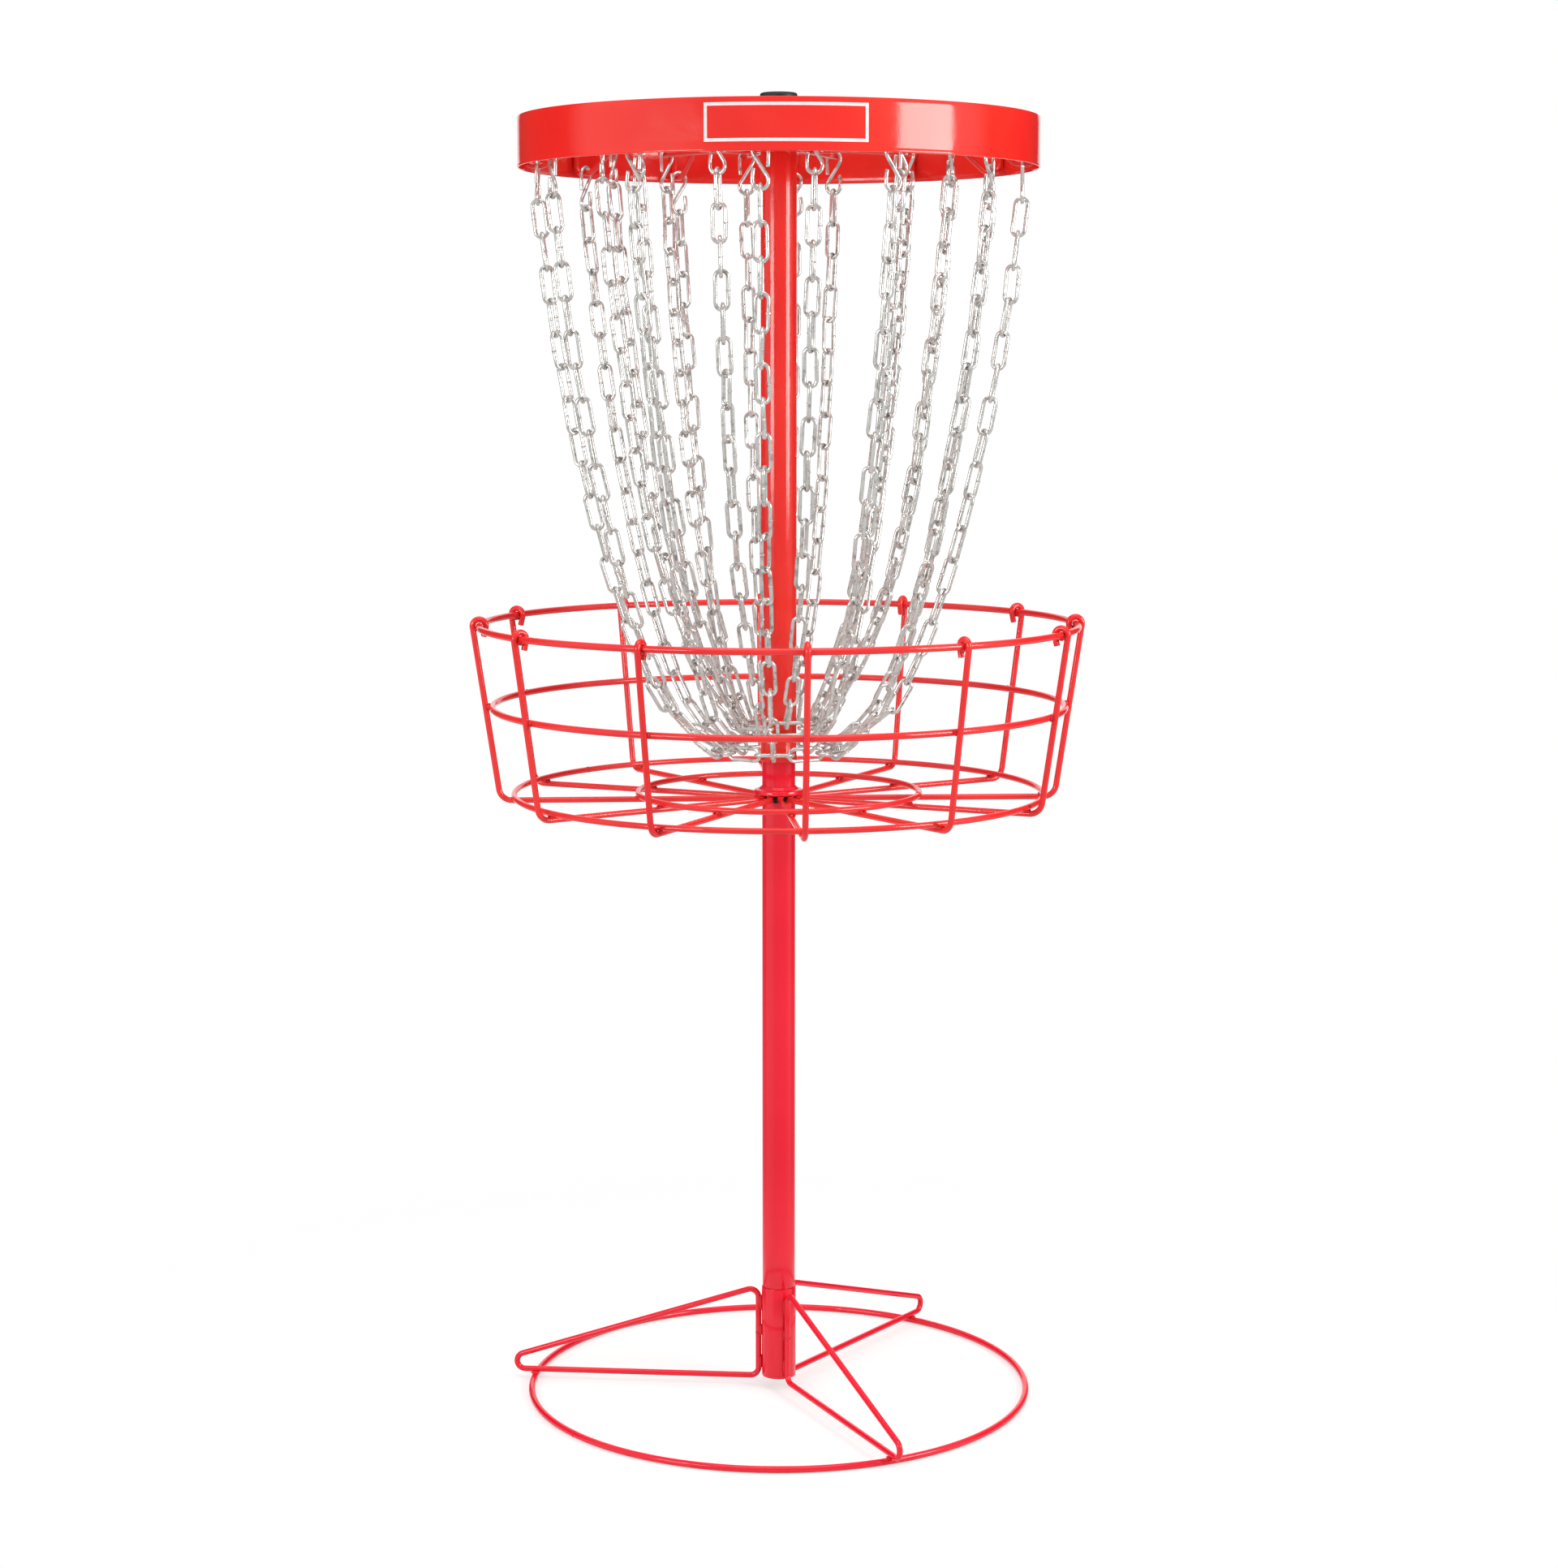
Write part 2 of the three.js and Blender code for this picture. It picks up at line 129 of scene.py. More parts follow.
# ---------------------------------------------------------------- meshes
class Soup:
    """Vertices and faces gathered for one object, with a material index for each face."""

    def __init__(self):
        self.v, self.f, self.m, self.n = [], [], [], 0

    def add(self, verts, faces, mat=0):
        verts = np.asarray(verts, float)
        self.v.append(verts)
        self.f.extend([tuple(i + self.n for i in f) for f in faces])
        self.m.extend([mat] * len(faces))
        self.n += len(verts)

    def tube(self, points, radius, sides=14, closed=False, mat=0, end="dome", up=None, wobble=0.0):
        p = np.asarray(points, float)
        n = len(p)
        if closed:
            tang = np.roll(p, -1, 0) - np.roll(p, 1, 0)
        else:
            tang = np.empty_like(p)
            seg = p[1:] - p[:-1]
            seg /= np.linalg.norm(seg, axis=1)[:, None]
            tang[0], tang[-1] = seg[0], seg[-1]
            tang[1:-1] = seg[1:] + seg[:-1]
        tang /= np.linalg.norm(tang, axis=1)[:, None]
        ref = np.array(up, float) if up is not None else np.array([0.0, 0.0, 1.0])
        if abs(ref @ tang[0]) > 0.9:
            ref = np.array([1.0, 0.0, 0.0])
        x = unit(ref - (ref @ tang[0]) * tang[0])
        frames = []
        for i in range(n):
            x = x - (x @ tang[i]) * tang[i]
            x = unit(x)
            frames.append((x, np.cross(tang[i], x)))
        a = np.arange(sides) * 2 * math.pi / sides
        rad = np.broadcast_to(np.asarray(radius, float), (n,)).copy()
        if wobble:
            rad *= 1 + wobble * RNG.standard_normal(n)
        rings = [(p[i], frames[i], rad[i]) for i in range(n)]
        if not closed:
            r0, r1 = rad[0], rad[-1]
            if end == "dome":
                cut = [(0.97, 0.62), (0.8, 0.86), (0.45, 0.985)]
                head = [(p[0] + tang[0] * r0 * (1 - k) * 0.6, frames[0], r0 * w) for k, w in cut]
                tail = [(p[-1] - tang[-1] * r1 * (1 - k) * 0.6, frames[-1], r1 * w) for k, w in reversed(cut)]
                rings = head + [(p[0] + tang[0] * r0 * 0.62, frames[0], r0)] + rings[1:-1] + [(p[-1] - tang[-1] * r1 * 0.62, frames[-1], r1)] + tail
            else:  # a sawn end with its edge taken off
                rings = (
                    [(p[0], frames[0], r0 * 0.84), (p[0] + tang[0] * r0 * 0.16, frames[0], r0)]
                    + rings[1:-1]
                    + [(p[-1] - tang[-1] * r1 * 0.16, frames[-1], r1), (p[-1], frames[-1], r1 * 0.84)]
                )
        m = len(rings)
        verts = np.empty((m, sides, 3))
        for i, (c, (fx, fy), r) in enumerate(rings):
            verts[i] = c + r * (np.cos(a)[:, None] * fx + np.sin(a)[:, None] * fy)
        verts = verts.reshape(-1, 3)
        faces = []
        span = m if closed else m - 1
        for i in range(span):
            j = (i + 1) % m
            for k in range(sides):
                l = (k + 1) % sides
                faces.append((i * sides + k, i * sides + l, j * sides + l, j * sides + k))
        if not closed:
            faces.append(tuple(range(sides - 1, -1, -1)))
            faces.append(tuple((m - 1) * sides + k for k in range(sides)))
        self.add(verts, faces, mat)

    def lathe(self, profile, segments=128, mat=0, az=0.0):
        """A closed profile of (radius, height) turned about Z."""
        pr = np.asarray(profile, float)
        n = len(pr)
        ang = np.radians(az) + np.arange(segments) * 2 * math.pi / segments
        verts = np.empty((segments, n, 3))
        for i, t in enumerate(ang):
            verts[i, :, 0] = pr[:, 0] * math.sin(t)
            verts[i, :, 1] = -pr[:, 0] * math.cos(t)
            verts[i, :, 2] = pr[:, 1]
        faces = []
        for i in range(segments):
            j = (i + 1) % segments
            for k in range(n):
                l = (k + 1) % n
                faces.append((i * n + k, j * n + k, j * n + l, i * n + l))
        self.add(verts.reshape(-1, 3), faces, mat)

    def bead(self, centre, axis, length, width, height, mat=1, seed=0):
        """A weld bead: a lumpy drop of metal, long along its axis."""
        c = np.asarray(centre, float)
        ax = unit(np.asarray(axis, float))
        ref = np.array([0.0, 0.0, 1.0]) if abs(ax[2]) < 0.9 else np.array([1.0, 0.0, 0.0])
        y = unit(np.cross(ref, ax))
        z = np.cross(ax, y)
        rng = np.random.default_rng(1000 + seed)
        lat, lon = 9, 12
        verts, faces = [], []
        ph = rng.uniform(0, 6.28, 4)
        for i in range(lat + 1):
            t = math.pi * i / lat
            for k in range(lon):
                q = 2 * math.pi * k / lon
                s = 1 + 0.10 * math.sin(3 * q + ph[0]) * math.sin(t) + 0.09 * math.sin(4 * t * 2 + ph[1]) + 0.05 * math.sin(2 * q + 5 * t + ph[2])
                d = ax * (length / 2 * math.cos(t)) + (y * (width / 2 * math.cos(q)) + z * (height / 2 * math.sin(q))) * math.sin(t)
                verts.append(c + d * s)
        for i in range(lat):
            for k in range(lon):
                l = (k + 1) % lon
                faces.append((i * lon + k, (i + 1) * lon + k, (i + 1) * lon + l, i * lon + l))
        self.add(verts, faces, mat)

    def make(self, name, materials, body, replaces=(), smooth_deg=40):
        v = np.concatenate(self.v) * MM
        mesh = bpy.data.meshes.new(name)
        mesh.from_pydata(v.tolist(), [], self.f)
        mesh.update()
        for mat in materials:
            mesh.materials.append(mat)
        idx = np.array(self.m, dtype=np.int32)
        mesh.polygons.foreach_set("material_index", np.minimum(idx, len(materials) - 1))
        mesh.polygons.foreach_set("use_smooth", [True] * len(mesh.polygons))
        obj = bpy.data.objects.new(name, mesh)
        bpy.context.scene.collection.objects.link(obj)
        bpy.context.view_layer.objects.active = obj
        # merge the collapsed poles and turn all faces outwards
        import bmesh

        bm = bmesh.new()
        bm.from_mesh(mesh)
        bmesh.ops.remove_doubles(bm, verts=bm.verts, dist=1e-6)
        bmesh.ops.recalc_face_normals(bm, faces=bm.faces)
        limit = math.radians(smooth_deg)
        for e in bm.edges:
            if len(e.link_faces) == 2 and e.calc_face_angle(0) > limit:
                e.smooth = False
        bm.to_mesh(mesh)
        bm.free()
        mesh.update()
        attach(obj, body)
        if replaces:
            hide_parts(*replaces)
        return obj


# ---------------------------------------------------------------- materials
def nodes_of(name):
    mat = bpy.data.materials.new(name)
    mat.use_nodes = True
    nt = mat.node_tree
    nt.nodes.clear()
    out = nt.nodes.new("ShaderNodeOutputMaterial")
    bsdf = nt.nodes.new("ShaderNodeBsdfPrincipled")
    nt.links.new(bsdf.outputs["BSDF"], out.inputs["Surface"])
    coord = nt.nodes.new("ShaderNodeTexCoord")
    return mat, nt, bsdf, coord.outputs["Object"]


def noise(nt, coord, scale, detail=2.0, rough=0.5, distortion=0.0, stretch=None):
    vec = coord
    if stretch is not None:
        mp = nt.nodes.new("ShaderNodeMapping")
        mp.inputs["Scale"].default_value = stretch
        nt.links.new(coord, mp.inputs["Vector"])
        vec = mp.outputs["Vector"]
    n = nt.nodes.new("ShaderNodeTexNoise")
    n.inputs["Scale"].default_value = scale
    n.inputs["Detail"].default_value = detail
    n.inputs["Roughness"].default_value = rough
    n.inputs["Distortion"].default_value = distortion
    nt.links.new(vec, n.inputs["Vector"])
    return n.outputs["Fac"]


def ramp(nt, fac, stops, interpolation="LINEAR"):
    r = nt.nodes.new("ShaderNodeValToRGB")
    r.color_ramp.interpolation = interpolation
    el = r.color_ramp.elements
    while len(el) > 1:
        el.remove(el[-1])
    el[0].position, el[0].color = stops[0][0], (*stops[0][1], 1)
    for pos, col in stops[1:]:
        e = el.new(pos)
        e.color = (*col, 1)
    nt.links.new(fac, r.inputs["Fac"])
    return r.outputs["Color"]


def span(nt, fac, lo, hi, a=0.0, b=1.0):
    m = nt.nodes.new("ShaderNodeMapRange")
    m.inputs["From Min"].default_value = a
    m.inputs["From Max"].default_value = b
    m.inputs["To Min"].default_value = lo
    m.inputs["To Max"].default_value = hi
    nt.links.new(fac, m.inputs["Value"])
    return m.outputs["Result"]


def mix(nt, fac, a, b, blend="MIX"):
    m = nt.nodes.new("ShaderNodeMix")
    m.data_type = "RGBA"
    m.blend_type = blend
    for sock, val in ((m.inputs["Factor"], fac), (m.inputs["A"], a), (m.inputs["B"], b)):
        if hasattr(val, "links") or isinstance(val, bpy.types.NodeSocket):
            nt.links.new(val, sock)
        elif isinstance(val, tuple):
            sock.default_value = (*val, 1) if len(val) == 3 else val
        else:
            sock.default_value = val
    return m.outputs["Result"]


def bump(nt, bsdf, layers):
    """Several bump layers in a row: (height socket, strength, distance in metres)."""
    prev = None
    for height, strength, distance in layers:
        b = nt.nodes.new("ShaderNodeBump")
        b.inputs["Strength"].default_value = strength
        b.inputs["Distance"].default_value = distance
        nt.links.new(height, b.inputs["Height"])
        if prev is not None:
            nt.links.new(prev, b.inputs["Normal"])
        prev = b.outputs["Normal"]
    nt.links.new(prev, bsdf.inputs["Normal"])


def powder(name, base, deep, light, rough=(0.07, 0.17), peel=0.07, weld=False):
    """Glossy powder coat: a slight tone drift, fine orange peel, faint rub marks and dust."""
    mat, nt, bsdf, co = nodes_of(name)
    tone = ramp(nt, noise(nt, co, 5.5, 3, 0.55), [(0.3, deep), (0.5, base), (0.72, light)])
    fine = noise(nt, co, 160, 3, 0.6)
    col = mix(nt, span(nt, fine, 0.0, 0.10, 0.45, 0.75), tone, light)
    scuff = noise(nt, co, 38, 5, 0.72, 0.6)
    col = mix(nt, span(nt, scuff, 0.0, 0.10, 0.66, 0.78), col, tuple(min(1.0, c * 1.1 + 0.05) for c in light))
    nt.links.new(col, bsdf.inputs["Base Color"])
    nt.links.new(span(nt, scuff, rough[0], rough[1], 0.35, 0.75), bsdf.inputs["Roughness"])
    bsdf.inputs["Specular IOR Level"].default_value = 0.5
    layers = [(noise(nt, co, 420, 2, 0.5), peel, 0.0004), (noise(nt, co, 90, 2, 0.5), peel * 0.6, 0.0008)]
    if weld:
        layers.append((noise(nt, co, 700, 3, 0.6), 0.5, 0.0009))
    bump(nt, bsdf, layers)
    return mat


def zinc(name, base=(0.70, 0.70, 0.675), dark=(0.22, 0.217, 0.20), rough=(0.10, 0.20), metal=0.70):
    """Bright zinc plate on drawn wire: grey-white mottling and fine pits."""
    mat, nt, bsdf, co = nodes_of(name)
    bsdf.inputs["Metallic"].default_value = metal  # the passivation film is part satin, part mirror
    mott = noise(nt, co, 120, 4, 0.65, 0.4)
    col = ramp(nt, mott, [(0.28, dark), (0.48, base), (0.75, tuple(min(1, c * 1.1) for c in base))])
    stain = noise(nt, co, 28, 3, 0.6)
    col = mix(nt, span(nt, stain, 0.0, 0.35, 0.58, 0.8), col, (0.62, 0.58, 0.50))
    nt.links.new(col, bsdf.inputs["Base Color"])
    nt.links.new(span(nt, mott, rough[1], rough[0], 0.3, 0.7), bsdf.inputs["Roughness"])
    bump(nt, bsdf, [(noise(nt, co, 900, 3, 0.6), 0.08, 0.0002), (noise(nt, co, 260, 2, 0.5), 0.10, 0.0003)])
    return mat


RED = powder("red_powder_coat", (0.79, 0.020, 0.014), (0.74, 0.012, 0.010), (0.83, 0.034, 0.020))
# Painted light: the stand's copy of the red coat has its red raised to make up for the lesser light the low parts get.
RED_LOW_LIFTED = powder("red_powder_coat_low_lifted", (0.80, 0.006, 0.026), (0.75, 0.003, 0.021), (0.84, 0.015, 0.036))
RED_MID = powder("red_powder_coat_mid", (0.79, 0.025, 0.025), (0.74, 0.016, 0.019), (0.83, 0.038, 0.034))
RED_WELD = powder("red_powder_coat_weld", (0.70, 0.006, 0.010), (0.46, 0.002, 0.004), (0.80, 0.020, 0.018), (0.3, 0.5), 0.35, True)
ZINC = zinc("zinc_plated_wire")
STEEL = zinc("drawn_steel", (0.46, 0.46, 0.47), (0.24, 0.24, 0.25), (0.3, 0.5), 1.0)


def cap_plastic():
    mat, nt, bsdf, co = nodes_of("black_cap_plastic")
    tone = ramp(nt, noise(nt, co, 60, 3, 0.6), [(0.3, (0.006, 0.006, 0.007)), (0.7, (0.018, 0.018, 0.020))])
    dust = noise(nt, co, 240, 4, 0.7)
    col = mix(nt, span(nt, dust, 0.0, 0.22, 0.58, 0.8), tone, (0.08, 0.08, 0.08))
    nt.links.new(col, bsdf.inputs["Base Color"])
    nt.links.new(span(nt, dust, 0.38, 0.62, 0.3, 0.7), bsdf.inputs["Roughness"])
    bump(nt, bsdf, [(noise(nt, co, 1400, 2, 0.5), 0.25, 0.0002), (noise(nt, co, 300, 2, 0.5), 0.1, 0.0003)])
    return mat


def print_white():
    mat, nt, bsdf, co = nodes_of("pale_print")
    tone = ramp(nt, noise(nt, co, 140, 4, 0.6), [(0.3, (0.80, 0.66, 0.68)), (0.7, (0.90, 0.80, 0.82))])
    nt.links.new(tone, bsdf.inputs["Base Color"])
    nt.links.new(span(nt, noise(nt, co, 300, 3, 0.6), 0.35, 0.55, 0.3, 0.7), bsdf.inputs["Roughness"])
    bump(nt, bsdf, [(noise(nt, co, 900, 2, 0.5), 0.1, 0.0002)])
    return mat


# Painted shade: a near-black matt coat for the patches that stand for the shade under the hub washer.
def painted_shade_material():
    mat, nt, bsdf, co = nodes_of("painted_shade_under_washer")
    tone = ramp(nt, noise(nt, co, 500, 3, 0.6), [(0.3, (0.010, 0.004, 0.004)), (0.7, (0.060, 0.012, 0.014))])
    nt.links.new(tone, bsdf.inputs["Base Color"])
    nt.links.new(span(nt, noise(nt, co, 900, 3, 0.6), 0.6, 0.85, 0.3, 0.7), bsdf.inputs["Roughness"])
    bsdf.inputs["Specular IOR Level"].default_value = 0.2
    bump(nt, bsdf, [(noise(nt, co, 1500, 2, 0.5), 0.4, 0.0004)])
    return mat


PAINTED_SHADE = painted_shade_material()
CAP = cap_plastic()
PRINT = print_white()
REDS = [RED, RED_WELD]
LOWS = [RED_LOW_LIFTED, RED_WELD]
MIDS = [RED_MID, RED_WELD]


# ---------------------------------------------------------------- base
def circle(r, z, n=160, az=0.0):
    return [at(az + 360.0 * i / n, r, z) for i in range(n)]


fin_bottom = BASE_WIRE + FIN_WIRE / 2 + GAP


def fin_path(az):
    z0, z1 = fin_bottom, FIN_TOP_Z
    tip_z = z0 + FIN_TIP_RISE
    slope = math.atan2(z1 - (tip_z + FIN_TIP_RISE), FIN_TIP_R - FIN_LEG_R)
    sd = math.degrees(slope)
    mid = (z1 + z0) / 2
    pts = [at(az, FIN_LEG_R, mid + GAP / 2), at(az, FIN_LEG_R, z1 - 10)]
    # inner top corner
    c0 = np.array([FIN_LEG_R + 9.0, z1 - 9.0])
    for k in range(9):
        w = math.radians(180 - (90 + sd) * k / 8)
        pts.append(at(az, c0[0] + 9.0 * math.cos(w), c0[1] + 9.0 * math.sin(w) - 0.6))
    tc = (FIN_TIP_R - FIN_TIP_RISE, tip_z)
    for k in range(15):
        w = math.radians(90 - sd - (180 - sd) * k / 14)
        pts.append(at(az, tc[0] + FIN_TIP_RISE * math.cos(w), tc[1] + FIN_TIP_RISE * math.sin(w)))
    for k in range(9):
        w = math.radians(270 - 90 * k / 8)
        pts.append(at(az, FIN_LEG_R + 9.0 + 9.0 * math.cos(w), z0 + 9.0 + 9.0 * math.sin(w)))
    pts.append(at(az, FIN_LEG_R, mid - GAP / 2))
    return resampled(pts, 20.0)


for side, az in FIN_AZ.items():
    s = Soup()
    s.tube(fin_path(az), FIN_WIRE / 2, 16, end="flat")
    # the butt weld in the leg, and the welds that hold the leg to the tube
    s.bead(at(az, FIN_LEG_R, (FIN_TOP_Z + fin_bottom) / 2), (0, 0, 1), 5.0, 7.4, 7.4, seed=int(az) + 3)
    for k, (z, h) in enumerate(((94, 15), (62, 12), (26, 15))):
        for u in (-2.6, 2.6):
            s.bead(at(az, 19.6, z, u), (0, 0, 1), h, 3.0, 3.0, seed=int(az) + 7 * k + int(u))
    # the weld to the ring
    for u in (-2.6, 2.6):
        s.bead(at(az, BASE_RING_R, BASE_WIRE - 0.2, u), at(az, 1, 0), 9.0, 3.0, 3.2, seed=int(az) + 40 + int(u))
    s.make("fin_wire_" + side, LOWS, "stand", ["base_fin_" + side])

s = Soup()
s.tube(circle(BASE_RING_R, BASE_WIRE / 2, 192), BASE_WIRE / 2, 16, closed=True)
s.bead(at(-52, BASE_RING_R, BASE_WIRE / 2 + 0.3), at(38, 1, 0), 4.5, 8.0, 6.8, seed=11)
s.make("ground_ring_wire", LOWS, "stand", ["base_ring"])


def tube_profile(od, idia, z0, z1, edge=0.7):
    ro, ri = od / 2, idia / 2
    e = min(edge, (ro - ri) * 0.45)
    n = max(1, int((z1 - z0) / 40))
    prof = [(ri, z0 + e), (ri + e * 0.3, z0 + e * 0.3), (ri + e, z0), (ro - e, z0), (ro - e * 0.3, z0 + e * 0.3), (ro, z0 + e)]
    prof += [(ro, z0 + (z1 - z0) * k / n) for k in range(1, n)]
    prof += [(ro, z1 - e), (ro - e * 0.3, z1 - e * 0.3), (ro - e, z1), (ri + e, z1), (ri + e * 0.3, z1 - e * 0.3), (ri, z1 - e)]
    prof += [(ri, z1 - (z1 - z0) * k / n) for k in range(1, n)]
    return prof


s = Soup()
s.lathe(tube_profile(37.2, 32.6, 12.3, 113.3), 72)
s.make("base_socket_tube", LOWS, "stand", ["base_tube"])

s = Soup()
s.lathe(tube_profile(35.6, 32.6, 113.6, 790.0), 72)
s.make("lower_pole_tube", LOWS, "stand", ["lower_pole"])

# ---------------------------------------------------------------- basket
hook_r = (RIM_WIRE + RIB_WIRE) / 2 + GAP
foot = np.array([FLOOR_OUTER_R + 14.5, RIB_FLOOR_Z])
to_rim = np.array([RIM_R, RIM_Z]) - foot
wall_angle = math.atan2(to_rim[1], to_rim[0]) - math.asin(hook_r / np.linalg.norm(to_rim))
wall_dir = np.array([math.cos(wall_angle), math.sin(wall_angle)])
wall_deg = math.degrees(wall_angle)
mid_wall_r = foot[0] + (MID_Z - RIB_FLOOR_Z) * wall_dir[0] / wall_dir[1]
MID_R = mid_wall_r - ((RIB_WIRE + MID_WIRE) / 2 + GAP + 0.2) / wall_dir[1]
FLOOR_Z = RIB_FLOOR_Z + (RIB_WIRE + FLOOR_WIRE) / 2 + GAP


def rib_path(az):
    pts = [at(az, 18.5, RIB_FLOOR_Z)]
    t = RIB_BEND_R * math.tan(wall_angle / 2)
    bc = (foot[0] - t, foot[1] + RIB_BEND_R)
    for k in range(11):
        w = math.radians(-90 + wall_deg * k / 10)
        pts.append(at(az, bc[0] + RIB_BEND_R * math.cos(w), bc[1] + RIB_BEND_R * math.sin(w)))
    for k in range(19):
        w = math.radians(wall_deg - 90 + (180 + RIB_CURL) * k / 18)
        pts.append(at(az, RIM_R + hook_r * math.cos(w), RIM_Z + hook_r * math.sin(w)))
    w = math.radians(wall_deg + 90 + RIB_CURL)
    end = np.array([RIM_R + hook_r * math.cos(w), RIM_Z + hook_r * math.sin(w)])
    tail = np.array([-math.sin(w), math.cos(w)])
    for t in (0.5, 1.0):
        pts.append(at(az, *(end + tail * RIB_TAIL * t)))
    return resampled(pts, 24.0)


for i, az in enumerate(RIB_AZ):
    s = Soup()
    s.tube(rib_path(az), RIB_WIRE / 2, 16, end="flat", up=at(az + 90, 1, 0))
    n = "%02d" % (i + 1)
    # welds: hub, floor rings, middle ring and rim, each as a small bead on either side of the wire
    for k, u in enumerate((-2.9, 2.9)):
        s.bead(at(az, FLOOR_INNER_R, RIB_FLOOR_Z + 3.1, u), at(az + 90, 1, 0), 3.2, 6.4, 3.6, seed=i * 20 + k)
        s.bead(at(az, FLOOR_OUTER_R, RIB_FLOOR_Z + 3.1, u), at(az + 90, 1, 0), 3.2, 6.4, 3.6, seed=i * 20 + 2 + k)
        s.bead(at(az, (mid_wall_r + MID_R) / 2, MID_Z, u), at(az + 90, 1, 0), 3.2, 4.2, 6.8, seed=i * 20 + 4 + k)
        s.bead(at(az, RIM_R + 0.6, RIM_Z - 3.6, u), at(az + 90, 1, 0), 3.4, 8.0, 4.2, seed=i * 20 + 6 + k)
    s.bead(at(az, 22.0, RIB_FLOOR_Z + 3.0), at(az, 1, 0), 7.0, 6.6, 4.6, seed=i * 20 + 9)
    s.make("rib_wire_" + n, MIDS, "stand", ["basket_rib_" + n])

for name, r, z, d, node, n in (
    ("rim_ring_wire", RIM_R, RIM_Z, RIM_WIRE, "basket_rim_ring", 216),
    ("mid_ring_wire", MID_R, MID_Z, MID_WIRE, "basket_mid_ring", 216),
    ("floor_outer_ring_wire", FLOOR_OUTER_R, FLOOR_Z, FLOOR_WIRE, "basket_floor_outer_ring", 192),
    ("floor_inner_ring_wire", FLOOR_INNER_R, FLOOR_Z, FLOOR_WIRE, "basket_floor_inner_ring", 144),
):
    s = Soup()
    s.tube(circle(r, z, n), d / 2, 16, closed=True)
    wa = {"rim_ring_wire": 198.0, "mid_ring_wire": 169.0, "floor_outer_ring_wire": 230.0, "floor_inner_ring_wire": 80.0}[name]
    s.bead(at(wa, r, z), at(wa + 90, 1, 0), 4.2, d + 0.7, d + 0.6, seed=int(r))
    s.make(name, MIDS, "stand", [node])

s = Soup()
hub = [(18.1, 659.2), (18.4, 658.9), (25.8, 658.9), (26.4, 659.5), (26.4, 662.7), (25.9, 663.4), (25.1, 663.7), (22.8, 663.8)]
for k in range(1, 8):  # the weld fillet that rises from the washer to the pole
    t = k / 8.0
    hub.append((22.8 - 3.2 * t, 663.8 + 2.9 * t**1.7 + 0.15 * math.sin(11 * t)))
hub += [(19.2, 666.9), (18.5, 666.7), (18.1, 666.0)]
s.lathe(hub, 96)
s.make("basket_hub_washer", LOWS, "stand", ["basket_hub"])

s = Soup()
for i, az in enumerate(RIB_AZ):  # painted shade: near-black patches on the pole between the rib roots, under the washer, where shade falls
    nxt = RIB_AZ[(i + 1) % 12] + (360 if i == 11 else 0)
    mid = (az + nxt) / 2
    s.bead(at(mid, 17.75, 654.7), at(mid + 90, 1, 0), 10.4, 1.6, 9.0, mat=0, seed=800 + i)
s.make("hub_painted_shade_patches", [PAINTED_SHADE], "stand")

# ---------------------------------------------------------------- head
s = Soup()
up = [(18.1, 694.7), (18.3, 694.2), (19.6, 694.2), (20.05, 694.8), (20.05, 697.9), (19.6, 699.6), (19.05, 701.2)]
n_up = 18
up += [(19.05, 701.2 + (1383.4 - 701.2) * k / n_up) for k in range(1, n_up + 1)]
up += [(18.85, 1383.9), (18.3, 1384.0), (18.1, 1383.6)]
up += [(18.1, 1383.6 - (1383.6 - 695.5) * k / n_up) for k in range(1, n_up)]
s.lathe(up, 80)
s.make("upper_pole_tube", REDS, "head", ["upper_pole"])

s = Soup()
cap = [(0.0, 1396.0), (8.0, 1395.95), (14.0, 1395.75), (17.2, 1395.4), (18.5, 1394.9), (19.3, 1394.0), (19.6, 1392.8), (19.65, 1391.0), (19.65, 1385.2), (19.4, 1384.5), (18.9, 1384.3), (17.8, 1384.3), (17.8, 1378.0), (17.75, 1377.5), (17.2, 1377.2), (17.75, 1376.9), (17.8, 1376.0), (17.8, 1372.0), (17.2, 1371.6), (17.8, 1371.2), (17.6, 1366.6), (17.0, 1366.0), (14.9, 1366.0), (14.5, 1366.4), (14.5, 1370.0), (0.0, 1370.0)]
# the section starts and ends on the axis, so its last edge is closed by the poles merging
s.lathe(cap, 72)
cap_obj = s.make("pole_end_cap", [CAP], "head", ["pole_cap"])

s = Soup()
sh = [(19.35, 1334.6), (19.7, 1334.0), (22.4, 1334.0), (23.0, 1334.6), (23.0, 1359.4), (23.6, 1360.7), (24.8, 1361.0), (30.4, 1361.0), (31.0, 1361.5), (31.0, 1364.9), (30.2, 1365.9), (28.5, 1366.0), (20.0, 1366.0), (19.35, 1365.4)]
s.lathe(sh, 96)
s.make("spider_hub_collar", REDS, "head", ["support_hub"])

arm_up_r = BAND_R - BAND_T - ARM_WIRE / 2 - 2 * GAP


def long_arm(az):
    r, z = OUTER_HANG
    return resampled(
        rounded(
            [at(az, 23.3, OUTER_ARM_Z), at(az, 204, OUTER_ARM_Z), at(az, r - 7, z - 0.4), at(az, r + 9, z - 0.4), at(az, arm_up_r, z + 6), at(az, arm_up_r, BAND_Z1 - 8)],
            [14, 12, 7, 9],
        ),
        24.0,
    )


def short_arm(az):
    r, z = INNER_HANG
    return resampled(rounded([at(az, 23.3, z), at(az, r + 9.5, z), at(az, r + 10.5, z + 2.5), at(az, r + 10.5, z + 11)], [5, 5]), 24.0)


